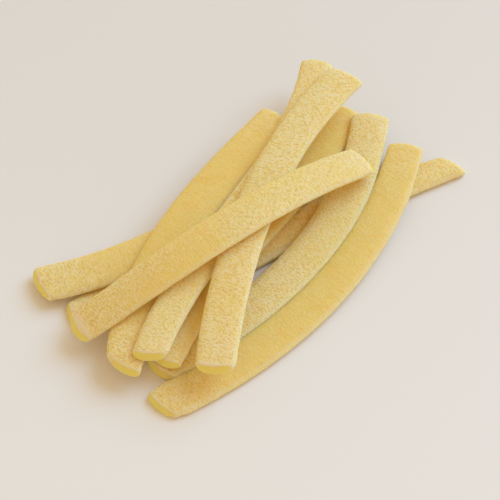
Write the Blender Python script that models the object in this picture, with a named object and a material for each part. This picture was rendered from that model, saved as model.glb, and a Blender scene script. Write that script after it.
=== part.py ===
"""A small loose heap of dry pasta ribbons, modelled strip by strip.

Each ribbon is a short, broad, flat strip of dried durum dough with rounded
long edges and slightly bulging cut ends. Ten of them lie crossed on each
other. A ribbon is a lofted band whose middle line bows in plan; its height,
pitch and roll are not typed in but settled: it takes the lowest pose that
clears the ribbons it lies on. Units are metres, +Z is up, +Y points away
from the front of the heap, the floor under it is z = 0 and the finished heap
is moved so that its plan centre is the origin.
"""
import math

import bmesh
import bpy
import numpy as np
from mathutils import Matrix

# Driving dimensions of one ribbon
MM = 0.001
RIBBON_WIDTH = 9.0 * MM
RIBBON_THICKNESS = 2.5 * MM
EDGE_POWER = 2.8            # superellipse power of the section: 2 is an oval, higher is boxier
END_BULGE = 1.0 * MM        # how far a cut end bows out past its corners
END_LEAN = 1.4 * MM         # how far the lower rim of a cut stands out past the upper one
BULGE_START = 0.9           # share of the half length where the bulge and the lean set in
END_ROUNDING = 0.35 * MM    # radius that softens the rim of a cut end
GAP = 0.3 * MM              # clearance kept between ribbons that touch

# Mesh density of one ribbon
STATIONS = 21
SECTION_POINTS = 16

# Settling
SAMPLE_STEP = 1.2 * MM
SAMPLES_ACROSS = 9
STEEPEST_PITCH = 0.07       # largest rise over run along a ribbon, as others hold it down
STEEPEST_ROLL = 0.04        # largest rise over run across a ribbon
SEARCH_STEPS = 34
SWEEPS = 12

COLLECTION = "dry_pasta_heap"
PASTA_COLOUR = (0.78, 0.58, 0.22, 1.0)
PASTA_ROUGHNESS = 0.62

# The ribbons, lowest first. front and back are the two ends in plan, bow is how
# far the middle swings to the left of the straight line from front to back,
# wave is an added S bend and arch lifts the middle; all in millimetres. width
# is a share of RIBBON_WIDTH. cuts says how far the left corner stands out, and
# the right one back, at the front and back cut, in millimetres. lies_on names
# the ribbons underneath, with the half of the heap where they pass below:
# "all", "front" (y < 0) or "back". narrowing is the share of its width that a
# ribbon loses from front to back, and swell the share by which it is broader in
# the middle.
RIBBONS = {
    "ribbon_left_low": dict(
        front=(-41.5, -19.0), back=(-20.0, -5.0), bow=-0.5, wave=0.0, arch=0.0, width=0.96,
        cuts=(0.0, 0.0), lies_on={}),
    "ribbon_outer_mid": dict(
        front=(-20.5, -31.5), back=(29.5, 36.5), bow=-10.0, wave=-1.0, arch=0.5, width=0.92,
        cuts=(1.3, 0.0), narrowing=-0.12,
        lies_on={"ribbon_slope_low": "back", "ribbon_cross_low": "all", "ribbon_left_tip": "all"}),
    "ribbon_slope_low": dict(
        front=(-19.5, -31.0), back=(24.0, 40.0), bow=0.5, wave=-2.0, arch=0.0, width=0.92,
        cuts=(-0.5, 0.5),
        lies_on={"ribbon_outer_mid": "front", "ribbon_cross_low": "all"}),
    "ribbon_cross_low": dict(
        front=(-12.5, -6.5), back=(49.5, 25.0), bow=2.0, wave=0.0, arch=0.0, width=1.14,
        cuts=(0.0, -2.0), narrowing=0.38,
        lies_on={}),
    "ribbon_left_tip": dict(
        front=(-49.0, -9.5), back=(8.0, 13.0), bow=-1.5, wave=1.0, arch=0.0, width=1.06,
        cuts=(1.5, 0.0),
        lies_on={"ribbon_slope_low": "all", "ribbon_left_low": "all", "ribbon_cross_low": "all"}),
    "ribbon_outer_long": dict(
        front=(-20.0, -41.0), back=(38.0, 28.0), bow=-9.8, wave=-0.5, arch=-0.5, width=0.95,
        cuts=(1.5, -0.3),
        lies_on={"ribbon_cross_low": "back"}),
    "ribbon_back_left": dict(
        front=(-29.0, -33.0), back=(6.5, 34.5), bow=5.5, wave=-1.0, arch=1.0, width=0.95,
        cuts=(-2.0, 0.0), swell=0.2,
        lies_on={"ribbon_cross_low": "all", "ribbon_left_low": "all", "ribbon_left_tip": "all"}),
    "ribbon_far_tip": dict(
        front=(-23.0, -31.5), back=(16.5, 49.0), bow=-2.0, wave=-2.5, arch=1.0, width=0.86,
        cuts=(1.0, 0.0),
        lies_on={"ribbon_slope_low": "all", "ribbon_outer_mid": "front", "ribbon_cross_low": "all",
                 "ribbon_left_low": "all", "ribbon_left_tip": "all", "ribbon_back_left": "all"}),
    "ribbon_steep_top": dict(
        front=(-8.0, -35.5), back=(23.5, 43.5), bow=6.5, wave=0.5, arch=1.5, width=1.0,
        cuts=(0.3, -1.0),
        lies_on={"ribbon_slope_low": "all", "ribbon_outer_mid": "all", "ribbon_cross_low": "all",
                 "ribbon_left_low": "all", "ribbon_left_tip": "all", "ribbon_outer_long": "all",
                 "ribbon_far_tip": "all", "ribbon_back_left": "all"}),
    "ribbon_crossing_top": dict(
        front=(-39.5, -23.0), back=(27.0, 21.0), bow=-1.5, wave=0.5, arch=9.0, width=0.92,
        cuts=(0.5, -0.5), swell=0.08,
        lies_on={"ribbon_slope_low": "all", "ribbon_outer_mid": "all", "ribbon_cross_low": "all",
                 "ribbon_left_low": "all", "ribbon_left_tip": "all", "ribbon_outer_long": "all",
                 "ribbon_far_tip": "all", "ribbon_back_left": "all", "ribbon_steep_top": "all"}),
}


def clear_scene():
    """Remove whatever objects the opened file holds."""
    for item in list(bpy.data.objects):
        bpy.data.objects.remove(item, do_unlink=True)


class Ribbon:
    """One strip: its plan shape, and the plane and arch that give its height."""

    def __init__(self, front, back, bow, wave, arch, width, cuts, lies_on, narrowing=0.0,
                 swell=0.0):
        self.start = np.array(front) * MM
        chord = np.array(back) * MM - self.start
        self.length = float(np.hypot(*chord))
        self.along = chord / self.length
        self.across = np.array([-self.along[1], self.along[0]])
        self.bow = bow * MM
        self.wave = wave * MM
        self.arch = arch * MM
        self.full_half_width = width * RIBBON_WIDTH / 2
        self.narrowing = narrowing
        self.swell = swell
        self.half_thickness = RIBBON_THICKNESS / 2
        self.front_cut = cuts[0] * MM
        self.back_cut = cuts[1] * MM
        self.lies_on = lies_on
        self.base = self.half_thickness
        self.pitch = 0.0
        self.roll = 0.0

    def offset(self, u):
        """Sideways swing of the middle line at u, from -1 at the front to 1 at the back."""
        dome = 1 - u * u
        return self.bow * dome + 2 * self.wave * u * dome

    def slope(self, u):
        """Sideways run of the middle line per metre of chord."""
        per_u = -2 * self.bow * u + 2 * self.wave * (1 - 3 * u * u)
        return per_u / (self.length / 2)

    def plan(self, u, side):
        """Plan position of the point at u along, side metres to the left of the middle line."""
        turn = np.arctan(self.slope(u))
        run = (u + 1) / 2 * self.length - side * np.sin(turn)
        swing = self.offset(u) + side * np.cos(turn)
        return self.start + np.outer(run, self.along) + np.outer(swing, self.across)

    def locate(self, points):
        """The u and side of plan points: the inverse of plan, by a few fixed-point steps."""
        local = points - self.start
        run = local @ self.along
        swing = local @ self.across
        u = 2 * run / self.length - 1
        for _ in range(6):
            turn = np.arctan(self.slope(u))
            side = (swing - self.offset(u)) / np.cos(turn)
            u = 2 * (run + side * np.sin(turn)) / self.length - 1
        return u, side

    def middle_height(self, points):
        """Height of the ribbon's middle surface over plan points, without its arch."""
        local = points - self.start
        run = local @ self.along - self.length / 2
        swing = local @ self.across
        return self.base + self.pitch * run + self.roll * swing

    def arch_height(self, u):
        """Lift of the middle surface from the strip's own slight warp."""
        return self.arch * (1 - u * u)

    def half_width(self, u):
        """Half the width of the strip at u, which may narrow towards the back or swell in the middle."""
        u = np.asarray(u)
        return self.full_half_width * (1 - self.narrowing * (u + 1) / 2 + self.swell * (1 - u * u))

    def half_depth(self, u, side):
        """Half thickness of the section at u, side metres from the middle line."""
        share = np.clip(np.abs(side) / self.half_width(u), 0, 1)
        return self.half_thickness * (1 - share ** EDGE_POWER) ** (1 / EDGE_POWER)

    def end_reach(self, u, side):
        """How far the cut nearer to u stands out at side metres from the middle line."""
        share = np.clip(side / self.half_width(u), -1, 1)
        slant = np.where(np.asarray(u) < 0, self.front_cut, self.back_cut)
        return END_BULGE * (1 - share ** 2) + slant * share

    def samples(self):
        """Grid of u and side values that covers the strip, for the settling."""
        count = int(self.length / SAMPLE_STEP)
        u = np.linspace(-1.02, 1.02, count)
        share = np.linspace(-0.995, 0.995, SAMPLES_ACROSS)
        grid_u, grid_share = np.meshgrid(u, share, indexing="ij")
        return grid_u.ravel(), (grid_share * self.half_width(grid_u)).ravel()

    def top_height(self, points):
        """Height of the top face over plan points, and whether each point is on the strip."""
        u, side = self.locate(points)
        reach = 1 + 2 * self.end_reach(u, side) / self.length
        inside = (np.abs(side) < self.half_width(u)) & (np.abs(u) < reach)
        height = self.middle_height(points) + self.arch_height(u) + self.half_depth(u, side)
        return height, inside


def supports(ribbon, ribbons):
    """Sample positions on a ribbon and the least height its middle plane may have there."""
    u, side = ribbon.samples()
    points = ribbon.plan(u, side)
    below = ribbon.half_depth(u, side) - ribbon.arch_height(u)
    need = below.copy()
    for name, where in ribbon.lies_on.items():
        top, inside = ribbons[name].top_height(points)
        if where == "front":
            inside = inside & (points[:, 1] < 0)
        if where == "back":
            inside = inside & (points[:, 1] >= 0)
        need = np.where(inside, np.maximum(need, top + GAP + below), need)
    local = points - ribbon.start
    run = local @ ribbon.along - ribbon.length / 2
    swing = local @ ribbon.across
    return run, swing, need


def smallest(measure, low, high):
    """Where a function with one valley is lowest between low and high."""
    golden = (math.sqrt(5) - 1) / 2
    left = high - golden * (high - low)
    right = low + golden * (high - low)
    at_left = measure(left)
    at_right = measure(right)
    for _ in range(SEARCH_STEPS):
        if at_left < at_right:
            high = right
            right = left
            at_right = at_left
            left = high - golden * (high - low)
            at_left = measure(left)
        else:
            low = left
            left = right
            at_left = at_right
            right = low + golden * (high - low)
            at_right = measure(right)
    return (low + high) / 2


def settle(ribbon, ribbons):
    """Give a ribbon the pitch, roll and height with the lowest centre of weight."""
    run, swing, need = supports(ribbon, ribbons)
    centre_swing = float(np.mean(swing))

    def rest_height(pitch, roll):
        return float(np.max(need - pitch * run - roll * (swing - centre_swing)))

    def best_roll(pitch):
        return smallest(lambda roll: rest_height(pitch, roll), -STEEPEST_ROLL, STEEPEST_ROLL)

    pitch = smallest(lambda value: rest_height(value, best_roll(value)), -STEEPEST_PITCH, STEEPEST_PITCH)
    roll = best_roll(pitch)
    ribbon.pitch = pitch
    ribbon.roll = roll
    ribbon.base = rest_height(pitch, roll) - roll * centre_swing


def section_points(ribbon, u):
    """Side and depth of the points round the cross-section at u."""
    angles = np.arange(SECTION_POINTS) * 2 * math.pi / SECTION_POINTS
    power = 2 / EDGE_POWER
    side = ribbon.half_width(u) * np.sign(np.cos(angles)) * np.abs(np.cos(angles)) ** power
    depth = ribbon.half_thickness * np.sign(np.sin(angles)) * np.abs(np.sin(angles)) ** power
    return side, depth


def ring(ribbon, u, inset):
    """World positions of one cross-section at u, drawn in by inset, bulged and leant near an end."""
    side, depth = section_points(ribbon, u)
    side = side * (1 - inset / ribbon.half_width(u))
    depth = depth * (1 - inset / ribbon.half_thickness)
    end_share = max(0.0, (abs(u) - BULGE_START) / (1 - BULGE_START))
    stand_out = ribbon.end_reach(u, side) * end_share ** 2
    lean = -END_LEAN / 2 * depth / ribbon.half_thickness * end_share ** 2
    u_each = u + math.copysign(2, u) * (stand_out + lean) / ribbon.length
    plan = ribbon.plan(u_each, side)
    height = ribbon.middle_height(plan) + ribbon.arch_height(u_each) + depth
    return np.column_stack([plan, height])


def station_list(ribbon):
    """The cross-sections from front to back, with two drawn-in rings that round each cut."""
    step = 2 * END_ROUNDING / ribbon.length
    inner = np.linspace(-1 + 2 * step, 1 - 2 * step, STATIONS)
    stations = [(-1.0, END_ROUNDING), (-1 + step * 0.3, END_ROUNDING * 0.3)]
    stations += [(float(u), 0.0) for u in inner]
    stations += [(1 - step * 0.3, END_ROUNDING * 0.3), (1.0, END_ROUNDING)]
    return stations


def close_cut(mesh_builder, rim):
    """Close a cut with faces that run from its upper rim straight down to its lower rim."""
    half = SECTION_POINTS // 2
    for corner in range(half):
        upper = [rim[corner], rim[corner + 1]]
        lower = [rim[-corner - 1], rim[-corner]] if corner else [rim[-1]]
        if corner == half - 1:
            lower = lower[1:]
        mesh_builder.faces.new(upper + lower)


def build_ribbon(name, ribbon, collection, material):
    """Loft one ribbon through its cross-sections and close both cuts."""
    mesh_builder = bmesh.new()
    rings = []
    for u, inset in station_list(ribbon):
        rings.append([mesh_builder.verts.new(point) for point in ring(ribbon, u, inset)])
    for first, second in zip(rings, rings[1:]):
        for corner in range(SECTION_POINTS):
            following = (corner + 1) % SECTION_POINTS
            mesh_builder.faces.new((first[corner], first[following], second[following], second[corner]))
    for rim in (rings[0], rings[-1]):
        close_cut(mesh_builder, rim)
    bmesh.ops.recalc_face_normals(mesh_builder, faces=mesh_builder.faces)
    mesh = bpy.data.meshes.new(name)
    mesh_builder.to_mesh(mesh)
    mesh_builder.free()
    mesh.materials.append(material)
    mesh.shade_smooth()
    item = bpy.data.objects.new(name, mesh)
    collection.objects.link(item)
    return item


def centre_heap(items):
    """Move every mesh so that the heap's plan centre is the origin; heights stay."""
    corners = np.array([vertex.co[:2] for item in items for vertex in item.data.vertices])
    centre = (corners.min(axis=0) + corners.max(axis=0)) / 2
    for item in items:
        item.data.transform(Matrix.Translation((-centre[0], -centre[1], 0.0)))


def pasta_material():
    """Pale semolina yellow with a dry, floury surface."""
    material = bpy.data.materials.new("dry_pasta")
    material.use_nodes = True
    shader = material.node_tree.nodes["Principled BSDF"]
    shader.inputs["Base Color"].default_value = PASTA_COLOUR
    shader.inputs["Roughness"].default_value = PASTA_ROUGHNESS
    shader.inputs["Metallic"].default_value = 0.0
    return material


clear_scene()
heap = bpy.data.collections.new(COLLECTION)
bpy.context.scene.collection.children.link(heap)
ribbons = {name: Ribbon(**shape) for name, shape in RIBBONS.items()}
for _ in range(SWEEPS):
    for ribbon in ribbons.values():
        settle(ribbon, ribbons)
pasta = pasta_material()
centre_heap([build_ribbon(name, ribbon, heap, pasta) for name, ribbon in ribbons.items()])
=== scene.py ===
import math

import bmesh
import bpy
import numpy as np
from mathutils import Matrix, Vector


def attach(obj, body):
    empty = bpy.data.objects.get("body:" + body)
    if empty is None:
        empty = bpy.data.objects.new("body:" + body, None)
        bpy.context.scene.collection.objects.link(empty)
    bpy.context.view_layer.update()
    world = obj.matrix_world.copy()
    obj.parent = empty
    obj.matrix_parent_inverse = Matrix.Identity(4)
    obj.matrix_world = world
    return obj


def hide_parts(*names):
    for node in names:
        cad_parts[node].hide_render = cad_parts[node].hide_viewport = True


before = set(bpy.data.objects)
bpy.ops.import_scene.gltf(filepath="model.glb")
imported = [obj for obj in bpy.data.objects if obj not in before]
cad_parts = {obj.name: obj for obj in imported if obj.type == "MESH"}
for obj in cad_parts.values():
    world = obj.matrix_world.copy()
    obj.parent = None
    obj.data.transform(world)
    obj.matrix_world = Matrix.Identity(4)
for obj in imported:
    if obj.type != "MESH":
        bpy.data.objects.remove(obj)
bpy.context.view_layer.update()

# The pasta dough
# Dried durum dough is pale yellow, a little translucent and dusted with its own
# flour. Short wrinkles run across each strip, and the blade leaves smooth,
# deeper yellow cuts. A pale painted highlight lies on the cut edges and on the sides
# that face the lamp. One material serves all the strips; the attributes "strip_mm",
# "flour" and "cut", and one for the painted highlight, on each mesh say what it has there.
MM = 0.001
DOUGH = (0.93, 0.67, 0.17)
DEEP_DOUGH = (0.92, 0.60, 0.09)
PIT_DOUGH = (0.77, 0.55, 0.16)
FLOUR = (0.97, 0.80, 0.47)
CUT_DOUGH = (0.97, 0.77, 0.20)
# Painted highlight: this pale colour stands in for light catching the cut edges and the sides of the
# strips that face the lamp.
PAINTED_HIGHLIGHT_DOUGH = (1.0, 0.82, 0.60)
DOUGH_ROUGHNESS = 0.62
DOUGH_SPECULAR = 0.28
GLOW_WEIGHT = 0.75
GLOW_REACH = (2.0, 1.3, 0.4)
BUMP_DEPTH = 0.2 * MM
BUMP_LEFT_ON_CUTS = 0.25
WRINKLES_PER_MM = (3.4, 1.1, 2.2)
GRAINS_PER_MM = 3.6
PATCHES_PER_MM = 0.22
# Each of these is a smooth change from the first value to the second, between
# the two strengths that follow, or else from 0 to 1.
PATCH_BY_NOISE = (0.50, 0.66)
PATCH_BY_FLOUR = (0.3, 0.8, 0.6, 0.0)
VEIL_BY_NOISE = (0.35, 0.65, 0.1, 0.35)
FLECK_BY_RELIEF = (0.48, 0.58)
FLECK_BY_FLOUR = (0.1, 0.8, 0.2, 1.0)
PIT_BY_RELIEF = (0.47, 0.37)
PIT_BY_FLOUR = (0.25, 0.55, 0.3, 0.9)
FLECK_STRENGTH = 0.95


class MaterialMaker:
    """Adds nodes to one material and links them."""

    def __init__(self, name):
        self.material = bpy.data.materials.new(name)
        self.material.use_nodes = True
        self.tree = self.material.node_tree
        self.shader = self.tree.nodes["Principled BSDF"]

    def put(self, socket, value):
        """Link an output to a socket, or set the socket's own value."""
        if isinstance(value, bpy.types.NodeSocket):
            self.tree.links.new(value, socket)
        elif isinstance(value, tuple) and len(value) == 3 and socket.type == "RGBA":
            socket.default_value = (*value, 1.0)
        else:
            socket.default_value = value

    def attribute(self, name, output):
        """Read an attribute of the mesh."""
        node = self.tree.nodes.new("ShaderNodeAttribute")
        node.attribute_name = name
        return node.outputs[output]

    def stretch(self, vector, scale):
        """Scale a position, axis by axis."""
        node = self.tree.nodes.new("ShaderNodeVectorMath")
        node.operation = "MULTIPLY"
        self.put(node.inputs[0], vector)
        node.inputs[1].default_value = scale
        return node.outputs["Vector"]

    def noise(self, vector, scale, detail):
        """Fractal noise from 0 to 1."""
        node = self.tree.nodes.new("ShaderNodeTexNoise")
        self.put(node.inputs["Vector"], vector)
        node.inputs["Scale"].default_value = scale
        node.inputs["Detail"].default_value = detail
        return node.outputs["Fac"]

    def ramp(self, value, low, high, to_low=0.0, to_high=1.0):
        """Smooth change from to_low to to_high as value goes from low to high."""
        node = self.tree.nodes.new("ShaderNodeMapRange")
        node.interpolation_type = "SMOOTHSTEP"
        self.put(node.inputs["Value"], value)
        node.inputs["From Min"].default_value = low
        node.inputs["From Max"].default_value = high
        node.inputs["To Min"].default_value = to_low
        node.inputs["To Max"].default_value = to_high
        return node.outputs["Result"]

    def times(self, first, second):
        """The product of two values."""
        node = self.tree.nodes.new("ShaderNodeMath")
        node.operation = "MULTIPLY"
        self.put(node.inputs[0], first)
        self.put(node.inputs[1], second)
        return node.outputs[0]

    def plus(self, first, second):
        """The sum of two values."""
        node = self.tree.nodes.new("ShaderNodeMath")
        node.operation = "ADD"
        self.put(node.inputs[0], first)
        self.put(node.inputs[1], second)
        return node.outputs[0]

    def mix(self, share, first, second):
        """Blend two colours."""
        node = self.tree.nodes.new("ShaderNodeMix")
        node.data_type = "RGBA"
        self.put(node.inputs[0], share)
        self.put(node.inputs[6], first)
        self.put(node.inputs[7], second)
        return node.outputs[2]


def dough_material():
    """Floury, wrinkled pasta dough with smooth cuts."""
    make = MaterialMaker("dry_pasta_dough")
    place = make.attribute("strip_mm", "Vector")
    cut = make.attribute("cut", "Fac")
    painted_highlight = make.attribute("painted_highlight", "Fac")
    flour = make.attribute("flour", "Fac")
    wrinkles = make.noise(make.stretch(place, WRINKLES_PER_MM), 1.0, 1.0)
    grain = make.noise(place, GRAINS_PER_MM, 1.0)
    patches = make.noise(place, PATCHES_PER_MM, 2.0)
    relief = make.plus(make.times(wrinkles, 0.5), make.times(grain, 0.5))

    patch = make.times(make.ramp(patches, *PATCH_BY_NOISE), make.ramp(flour, *PATCH_BY_FLOUR))
    veil = make.times(make.ramp(patches, *VEIL_BY_NOISE), flour)
    fleck = make.times(make.ramp(relief, *FLECK_BY_RELIEF), make.ramp(flour, *FLECK_BY_FLOUR))
    pit = make.times(make.ramp(relief, *PIT_BY_RELIEF), make.ramp(flour, *PIT_BY_FLOUR))
    colour = make.mix(patch, DOUGH, DEEP_DOUGH)
    colour = make.mix(veil, colour, FLOUR)
    colour = make.mix(make.times(fleck, FLECK_STRENGTH), colour, FLOUR)
    colour = make.mix(pit, colour, PIT_DOUGH)
    # Painted highlight: pale colour on the cut edges and on the sides that face the lamp.
    colour = make.mix(painted_highlight, colour, PAINTED_HIGHLIGHT_DOUGH)
    colour = make.mix(cut, colour, CUT_DOUGH)
    make.put(make.shader.inputs["Base Color"], colour)

    bump = make.tree.nodes.new("ShaderNodeBump")
    bump.inputs["Distance"].default_value = BUMP_DEPTH
    height = make.times(relief, make.ramp(cut, 0.0, 1.0, 1.0, BUMP_LEFT_ON_CUTS))
    make.put(bump.inputs["Height"], height)
    make.put(make.shader.inputs["Normal"], bump.outputs["Normal"])

    make.shader.inputs["Roughness"].default_value = DOUGH_ROUGHNESS
    make.shader.inputs["Specular IOR Level"].default_value = DOUGH_SPECULAR
    make.shader.inputs["Subsurface Weight"].default_value = GLOW_WEIGHT
    make.shader.inputs["Subsurface Radius"].default_value = GLOW_REACH
    make.shader.inputs["Subsurface Scale"].default_value = MM
    return make.material


dough = dough_material()

# The ten pasta strips
# Each is a short, broad, flat band of rolled dough, cut and dried until it
# bowed. They lie loose on each other, each over the solid of its own node,
# which gives its form; the fine mesh adds the uneven rolling and the wrinkles,
# and fills the strip out a little, so that strips that touch leave no gap.
MESH_STEP = 0.24 * MM
SMOOTHINGS = 7

# How much flour lies on each strip, from 0 to 1
DUSTINGS = {
    "ribbon_crossing_top": 0.65,
    "ribbon_steep_top": 0.95,
    "ribbon_far_tip": 0.85,
    "ribbon_back_left": 0.25,
    "ribbon_left_tip": 0.45,
    "ribbon_left_low": 0.45,
    "ribbon_slope_low": 0.2,
    "ribbon_outer_mid": 0.95,
    "ribbon_outer_long": 0.3,
    "ribbon_cross_low": 0.75,
}
FLOUR_EVEN_SHARE = 0.8
FLOUR_SPREAD = 0.35
FLOUR_PER_MM = (0.07, 0.12, 0.1)
END_FLOUR = 0.5
END_FLOUR_REACH = (20.0, 2.0)
BACK_FLOUR_SHARE = 0.3

# The surface: depths of the uneven rolling and the wrinkles, and their counts per
# millimetre along, across and through the strip
UNEVEN_DEPTH = 0.09 * MM
UNEVEN_PER_MM = (0.16, 0.30, 0.3)
FINER_UNEVEN_PER_MM = 0.5
WRINKLE_DEPTH = 0.05 * MM
SURFACE_WRINKLES_PER_MM = (1.5, 0.55, 0.8)
FINER_WRINKLES_PER_MM = 1.9
COARSE_SHARE = 0.6
FINE_SHARE = 0.4
WRINKLES_LOST_ON_CUTS = 0.75

# Filling out, in millimetres for the sides, and only in front of FILLED_FRONT
FILL_OUT = 0.1 * MM
USUAL_SIDE_FILL = 0.18
SIDE_FILLS = {"ribbon_outer_mid": 0.42, "ribbon_outer_long": 0.42, "ribbon_cross_low": 0.9}
FILLED_FRONT = (22 * MM, 8 * MM)
SIDE_BY_NORMAL = (0.8, 0.2)
PLAN_SHIFTS = {"ribbon_left_low": (0.6, 1.3, 0.0)}
NO_SHIFT = (0.0, 0.0, 0.0)

# The cuts: how far from the end they reach, how squarely a face must look along
# the strip, and the lens of deeper yellow in the middle of each, in millimetres
END_ZONE = (5.0, 3.0)
CUT_BY_FACING = (0.55, 0.80)
LENS_BY_HEIGHT = (1.05, 0.65)
LENS_BY_SIDE = (4.4, 3.4)
# Painted highlight: a pale colour painted on the cut edges, weaker on the back ends, which face away,
# and on the sides that face right, where the lamp catches them.
END_HIGHLIGHT_BY_FACING = (0.20, 0.45)
END_HIGHLIGHT_STRENGTH = 0.7
BACK_HIGHLIGHT_SHARE = 0.25
SIDE_HIGHLIGHT_BY_FACING = (0.35, 0.70)
SIDE_HIGHLIGHT_STRENGTH = 0.28

# Whole numbers that scatter the values of the noise
CELL_STEPS = (73856093, 19349663, 83492791)
SEED_STEP = 2654435761
MIXERS = (2246822519, 3266489917)
LOW_BITS = 0xFFFFFFFF
HALF_RANGE = 0x7FFFFFFF
SEED_DISTANCE = 37.0


def corner_values(cells, seed):
    """A repeatable value from -1 to 1 for each whole-number cell."""
    mixed = cells[:, 0] * CELL_STEPS[0] ^ cells[:, 1] * CELL_STEPS[1] ^ cells[:, 2] * CELL_STEPS[2]
    mixed = (mixed ^ seed * SEED_STEP) & LOW_BITS
    mixed = (mixed ^ (mixed >> 15)) * MIXERS[0] & LOW_BITS
    mixed = (mixed ^ (mixed >> 13)) * MIXERS[1] & LOW_BITS
    mixed = mixed ^ (mixed >> 16)
    return mixed / HALF_RANGE - 1


def smooth_noise(places, seed):
    """Smooth noise from -1 to 1 with bumps about one unit across."""
    cells = np.floor(places).astype(np.int64)
    part = places - cells
    part = part * part * (3 - 2 * part)
    total = np.zeros(len(places))
    for step in np.ndindex(2, 2, 2):
        weight = np.prod(np.where(np.array(step) == 1, part, 1 - part), axis=1)
        total += weight * corner_values(cells + np.array(step), seed)
    return total


def fine_mesh(node):
    """A closed mesh over the node's solid, with even faces about MESH_STEP across."""
    shape = bmesh.new()
    shape.from_mesh(node.data)
    bmesh.ops.remove_doubles(shape, verts=shape.verts, dist=0.001 * MM)
    coarse = bpy.data.meshes.new(node.name + "_coarse")
    shape.to_mesh(coarse)
    shape.free()
    carrier = bpy.data.objects.new(node.name + "_coarse", coarse)
    bpy.context.scene.collection.objects.link(carrier)
    remesh = carrier.modifiers.new("even_faces", "REMESH")
    remesh.mode = "VOXEL"
    remesh.voxel_size = MESH_STEP
    evaluated = carrier.evaluated_get(bpy.context.evaluated_depsgraph_get())
    fine = bpy.data.meshes.new_from_object(evaluated)
    bpy.data.objects.remove(carrier)
    bpy.data.meshes.remove(coarse)
    return fine


def read_places(mesh):
    """The mesh's points, one row each."""
    places = np.empty(len(mesh.vertices) * 3)
    mesh.vertices.foreach_get("co", places)
    return places.reshape(-1, 3)


def read_normals(mesh):
    """The direction the mesh faces at each point."""
    normals = np.empty(len(mesh.vertices) * 3)
    mesh.vertex_normals.foreach_get("vector", normals)
    return normals.reshape(-1, 3)


def write_places(mesh, places):
    """Put the points back in the mesh."""
    mesh.vertices.foreach_set("co", places.ravel())
    mesh.update()


def relax(mesh, times):
    """Even out the steps of the remesh: each point moves halfway to the mean of its neighbours."""
    edges = np.empty(len(mesh.edges) * 2, dtype=np.int32)
    mesh.edges.foreach_get("vertices", edges)
    first, second = edges.reshape(-1, 2).T
    places = read_places(mesh)
    count = np.bincount(first, minlength=len(places)) + np.bincount(second, minlength=len(places))
    for _ in range(times):
        total = np.zeros_like(places)
        for axis in range(3):
            total[:, axis] += np.bincount(first, places[second, axis], len(places))
            total[:, axis] += np.bincount(second, places[first, axis], len(places))
        places = (places + total / count[:, None]) / 2
    write_places(mesh, places)


def strip_places(places):
    """Millimetres along and across the strip and over its middle surface, and its direction in plan."""
    plan = places[:, :2] - places[:, :2].mean(axis=0)
    along = np.linalg.svd(plan, full_matrices=False)[2][0]
    across = np.array([-along[1], along[0]])
    run = plan @ along
    swing = plan @ across
    middle = np.polyfit(run, swing, 3)
    turn = np.polyval(np.polyder(middle), run)
    side = (swing - np.polyval(middle, run)) / np.sqrt(1 + turn ** 2)
    height = places[:, 2] - np.polyval(np.polyfit(run, places[:, 2], 2), run)
    direction = along + turn[:, None] * across
    direction /= np.linalg.norm(direction, axis=1)[:, None]
    return np.column_stack([run, side, height]) / MM, direction


def soft_step(value, low, high):
    """0 below low, 1 above high, smooth between."""
    share = np.clip((value - low) / (high - low), 0, 1)
    return share * share * (3 - 2 * share)


def store(mesh, name, kind, field, values):
    """Keep values on the mesh as an attribute."""
    layer = mesh.attributes.new(name, kind, "POINT")
    layer.data.foreach_set(field, np.ascontiguousarray(values, dtype=np.float32).ravel())


def cut_and_highlight_marks(strip, normals, direction, front_end):
    """How near the ends, on a cut and in the lens of a cut each point is, and how much painted highlight
    it gets on its edges, from 0 to 1.
    """
    facing_end = np.abs(np.sum(normals[:, :2] * direction, axis=1))
    near_end = soft_step(end_distance(strip), *END_ZONE)
    cut = soft_step(facing_end, *CUT_BY_FACING) * near_end
    lens = cut * soft_step(np.abs(strip[:, 2]), *LENS_BY_HEIGHT)
    lens *= soft_step(np.abs(strip[:, 1]), *LENS_BY_SIDE)
    # Painted highlight on the cut edges, weaker at the back ends, which face away from the camera.
    end_highlight = soft_step(facing_end, *END_HIGHLIGHT_BY_FACING) * near_end * (1 - lens)
    end_highlight *= np.where(front_end, 1.0, BACK_HIGHLIGHT_SHARE)
    # Painted highlight on the sides that face right, where the lamp catches them.
    facing_right = normals[:, 0] * np.abs(direction[:, 1]) - normals[:, 1] * np.abs(direction[:, 0])
    side_highlight = soft_step(facing_right, *SIDE_HIGHLIGHT_BY_FACING)
    painted_highlight = np.maximum(END_HIGHLIGHT_STRENGTH * end_highlight, SIDE_HIGHLIGHT_STRENGTH * side_highlight)
    return near_end, cut, lens, painted_highlight


def end_distance(strip):
    """Millimetres from each point to the nearer end of the strip."""
    return np.abs(strip[:, 0]).max() - np.abs(strip[:, 0])


def two_sizes(offset, coarse, fine, seed):
    """Smooth noise of a coarse and a finer size, put together."""
    coarse_part = smooth_noise(offset * coarse, seed) * COARSE_SHARE
    return coarse_part + smooth_noise(offset * fine, seed + 1) * FINE_SHARE


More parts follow.
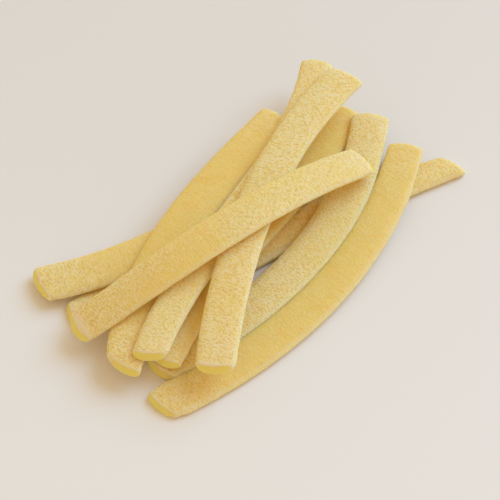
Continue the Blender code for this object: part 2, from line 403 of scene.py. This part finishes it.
def make_strip(node_name, dusting, seed):
    """One strip: fine mesh, uneven rolling, wrinkles, and the attributes its material reads."""
    mesh = fine_mesh(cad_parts[node_name])
    relax(mesh, SMOOTHINGS)
    places = read_places(mesh)
    normals = read_normals(mesh)
    strip, direction = strip_places(places)
    front_end = places[:, 1] < 0
    near_end, cut, lens, painted_highlight = cut_and_highlight_marks(strip, normals, direction, front_end)

    offset = strip + seed * SEED_DISTANCE
    uneven = two_sizes(offset, UNEVEN_PER_MM, FINER_UNEVEN_PER_MM, seed)
    wrinkles = two_sizes(offset, SURFACE_WRINKLES_PER_MM, FINER_WRINKLES_PER_MM, seed + 2)
    side_fill = SIDE_FILLS.get(node_name, USUAL_SIDE_FILL) * MM * soft_step(places[:, 1], *FILLED_FRONT)
    lift = FILL_OUT + side_fill * soft_step(np.abs(normals[:, 2]), *SIDE_BY_NORMAL) * (1 - near_end)
    lift += uneven * UNEVEN_DEPTH + wrinkles * WRINKLE_DEPTH * (1 - WRINKLES_LOST_ON_CUTS * cut)
    plan_shift = np.array(PLAN_SHIFTS.get(node_name, NO_SHIFT)) * MM
    write_places(mesh, places + normals * lift[:, None] + plan_shift)

    flour = dusting * (FLOUR_EVEN_SHARE + FLOUR_SPREAD * smooth_noise(offset * FLOUR_PER_MM, seed + 4))
    end_flour = END_FLOUR * soft_step(end_distance(strip), *END_FLOUR_REACH)
    flour += end_flour * np.where(front_end, 1.0, BACK_FLOUR_SHARE)
    store(mesh, "strip_mm", "FLOAT_VECTOR", "vector", offset)
    store(mesh, "cut", "FLOAT", "value", lens)
    # Painted highlight: pale colour on the cut edges and on the sides that face the lamp.
    store(mesh, "painted_highlight", "FLOAT", "value", painted_highlight)
    store(mesh, "flour", "FLOAT", "value", np.clip(flour, 0, 1))
    mesh.materials.clear()
    mesh.materials.append(dough)
    mesh.shade_smooth()
    mesh.name = node_name.replace("ribbon", "strip")
    strip_object = bpy.data.objects.new(mesh.name, mesh)
    bpy.context.scene.collection.objects.link(strip_object)
    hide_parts(node_name)
    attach(strip_object, "root")


for number, (node_name, dusting) in enumerate(DUSTINGS.items()):
    make_strip(node_name, dusting, number + 1)

# The floor
# A plain, pale, warm grey surface, far wider than the picture, with no edge or
# pattern; its colour is painted a little darker towards the back, as painted shade for the light falling
# off.
# It is a stage and not part of the heap.
FLOOR_COLOUR = (0.95, 0.89, 0.81)
FAR_FLOOR_SHADED_COLOUR = (0.86, 0.79, 0.70)
FLOOR_SHADE_FADE = (-0.08, 0.10)
FLOOR_ROUGHNESS = 0.7
FLOOR_HALF_SIZE = 1.5

floor_material = MaterialMaker("pale_floor")
floor_place = floor_material.tree.nodes.new("ShaderNodeTexCoord").outputs["Object"]
floor_split = floor_material.tree.nodes.new("ShaderNodeSeparateXYZ")
floor_material.put(floor_split.inputs[0], floor_place)
# Painted shade: the floor colour darkens towards the back.
floor_painted_shade = floor_material.ramp(floor_split.outputs["Y"], *FLOOR_SHADE_FADE)
floor_colour = floor_material.mix(floor_painted_shade, FLOOR_COLOUR, FAR_FLOOR_SHADED_COLOUR)
floor_material.put(floor_material.shader.inputs["Base Color"], floor_colour)
floor_material.shader.inputs["Roughness"].default_value = FLOOR_ROUGHNESS
floor_shape = bmesh.new()
bmesh.ops.create_grid(floor_shape, x_segments=1, y_segments=1, size=FLOOR_HALF_SIZE)
floor_mesh = bpy.data.meshes.new("floor")
floor_shape.to_mesh(floor_mesh)
floor_shape.free()
floor_mesh.materials.append(floor_material.material)
floor = bpy.data.objects.new("floor", floor_mesh)
bpy.context.scene.collection.objects.link(floor)

# The light
# One broad, soft, cool lamp high behind the heap on its right throws the soft
# shadow to the front left, and an even, warm surround fills the rest.
LAMP_PLACE = Vector((1.05, 0.75, 1.15))
LAMP_AIM = Vector((0.0, 0.0, 0.0))
LAMP_SIZE = 1.3
LAMP_WATTS = 24.0
LAMP_COLOUR = (0.36, 0.62, 1.0)
SURROUND_COLOUR = (1.0, 0.82, 0.56)
SURROUND_STRENGTH = 0.66

lamp_data = bpy.data.lights.new("soft_lamp", "AREA")
lamp_data.shape = "DISK"
lamp_data.size = LAMP_SIZE
lamp_data.energy = LAMP_WATTS
lamp_data.color = LAMP_COLOUR
lamp = bpy.data.objects.new("soft_lamp", lamp_data)
lamp.location = LAMP_PLACE
lamp.rotation_euler = (LAMP_AIM - LAMP_PLACE).to_track_quat("-Z", "Y").to_euler()
bpy.context.scene.collection.objects.link(lamp)

surround = bpy.data.worlds.new("pale_surround")
surround.use_nodes = True
surround.node_tree.nodes["Background"].inputs["Color"].default_value = (*SURROUND_COLOUR, 1.0)
surround.node_tree.nodes["Background"].inputs["Strength"].default_value = SURROUND_STRENGTH
bpy.context.scene.world = surround
bpy.context.scene.view_settings.view_transform = "Standard"

# The camera
# It looks steeply down on the heap from the front, from far enough away that
# the strips hardly taper.
CAMERA_ELEVATION = math.radians(58)
CAMERA_DISTANCE = 550 * MM
CAMERA_TARGET = Vector((-0.55, -3.31, 5.0)) * MM
AIM_BELOW_TARGET = 1.2 * MM
LENS_MM = 167.1

camera_data = bpy.data.cameras.new("camera")
camera_data.lens = LENS_MM
camera_data.sensor_width = 36.0
camera_data.clip_start = 0.01
camera = bpy.data.objects.new("camera", camera_data)
camera_up = Vector((0, math.sin(CAMERA_ELEVATION), math.cos(CAMERA_ELEVATION)))
camera_back = Vector((0, -math.cos(CAMERA_ELEVATION), math.sin(CAMERA_ELEVATION)))
camera.location = CAMERA_TARGET + camera_back * CAMERA_DISTANCE
camera_aim = CAMERA_TARGET - camera_up * AIM_BELOW_TARGET
camera.rotation_euler = (camera_aim - camera.location).to_track_quat("-Z", "Y").to_euler()
bpy.context.scene.collection.objects.link(camera)
bpy.context.scene.camera = camera
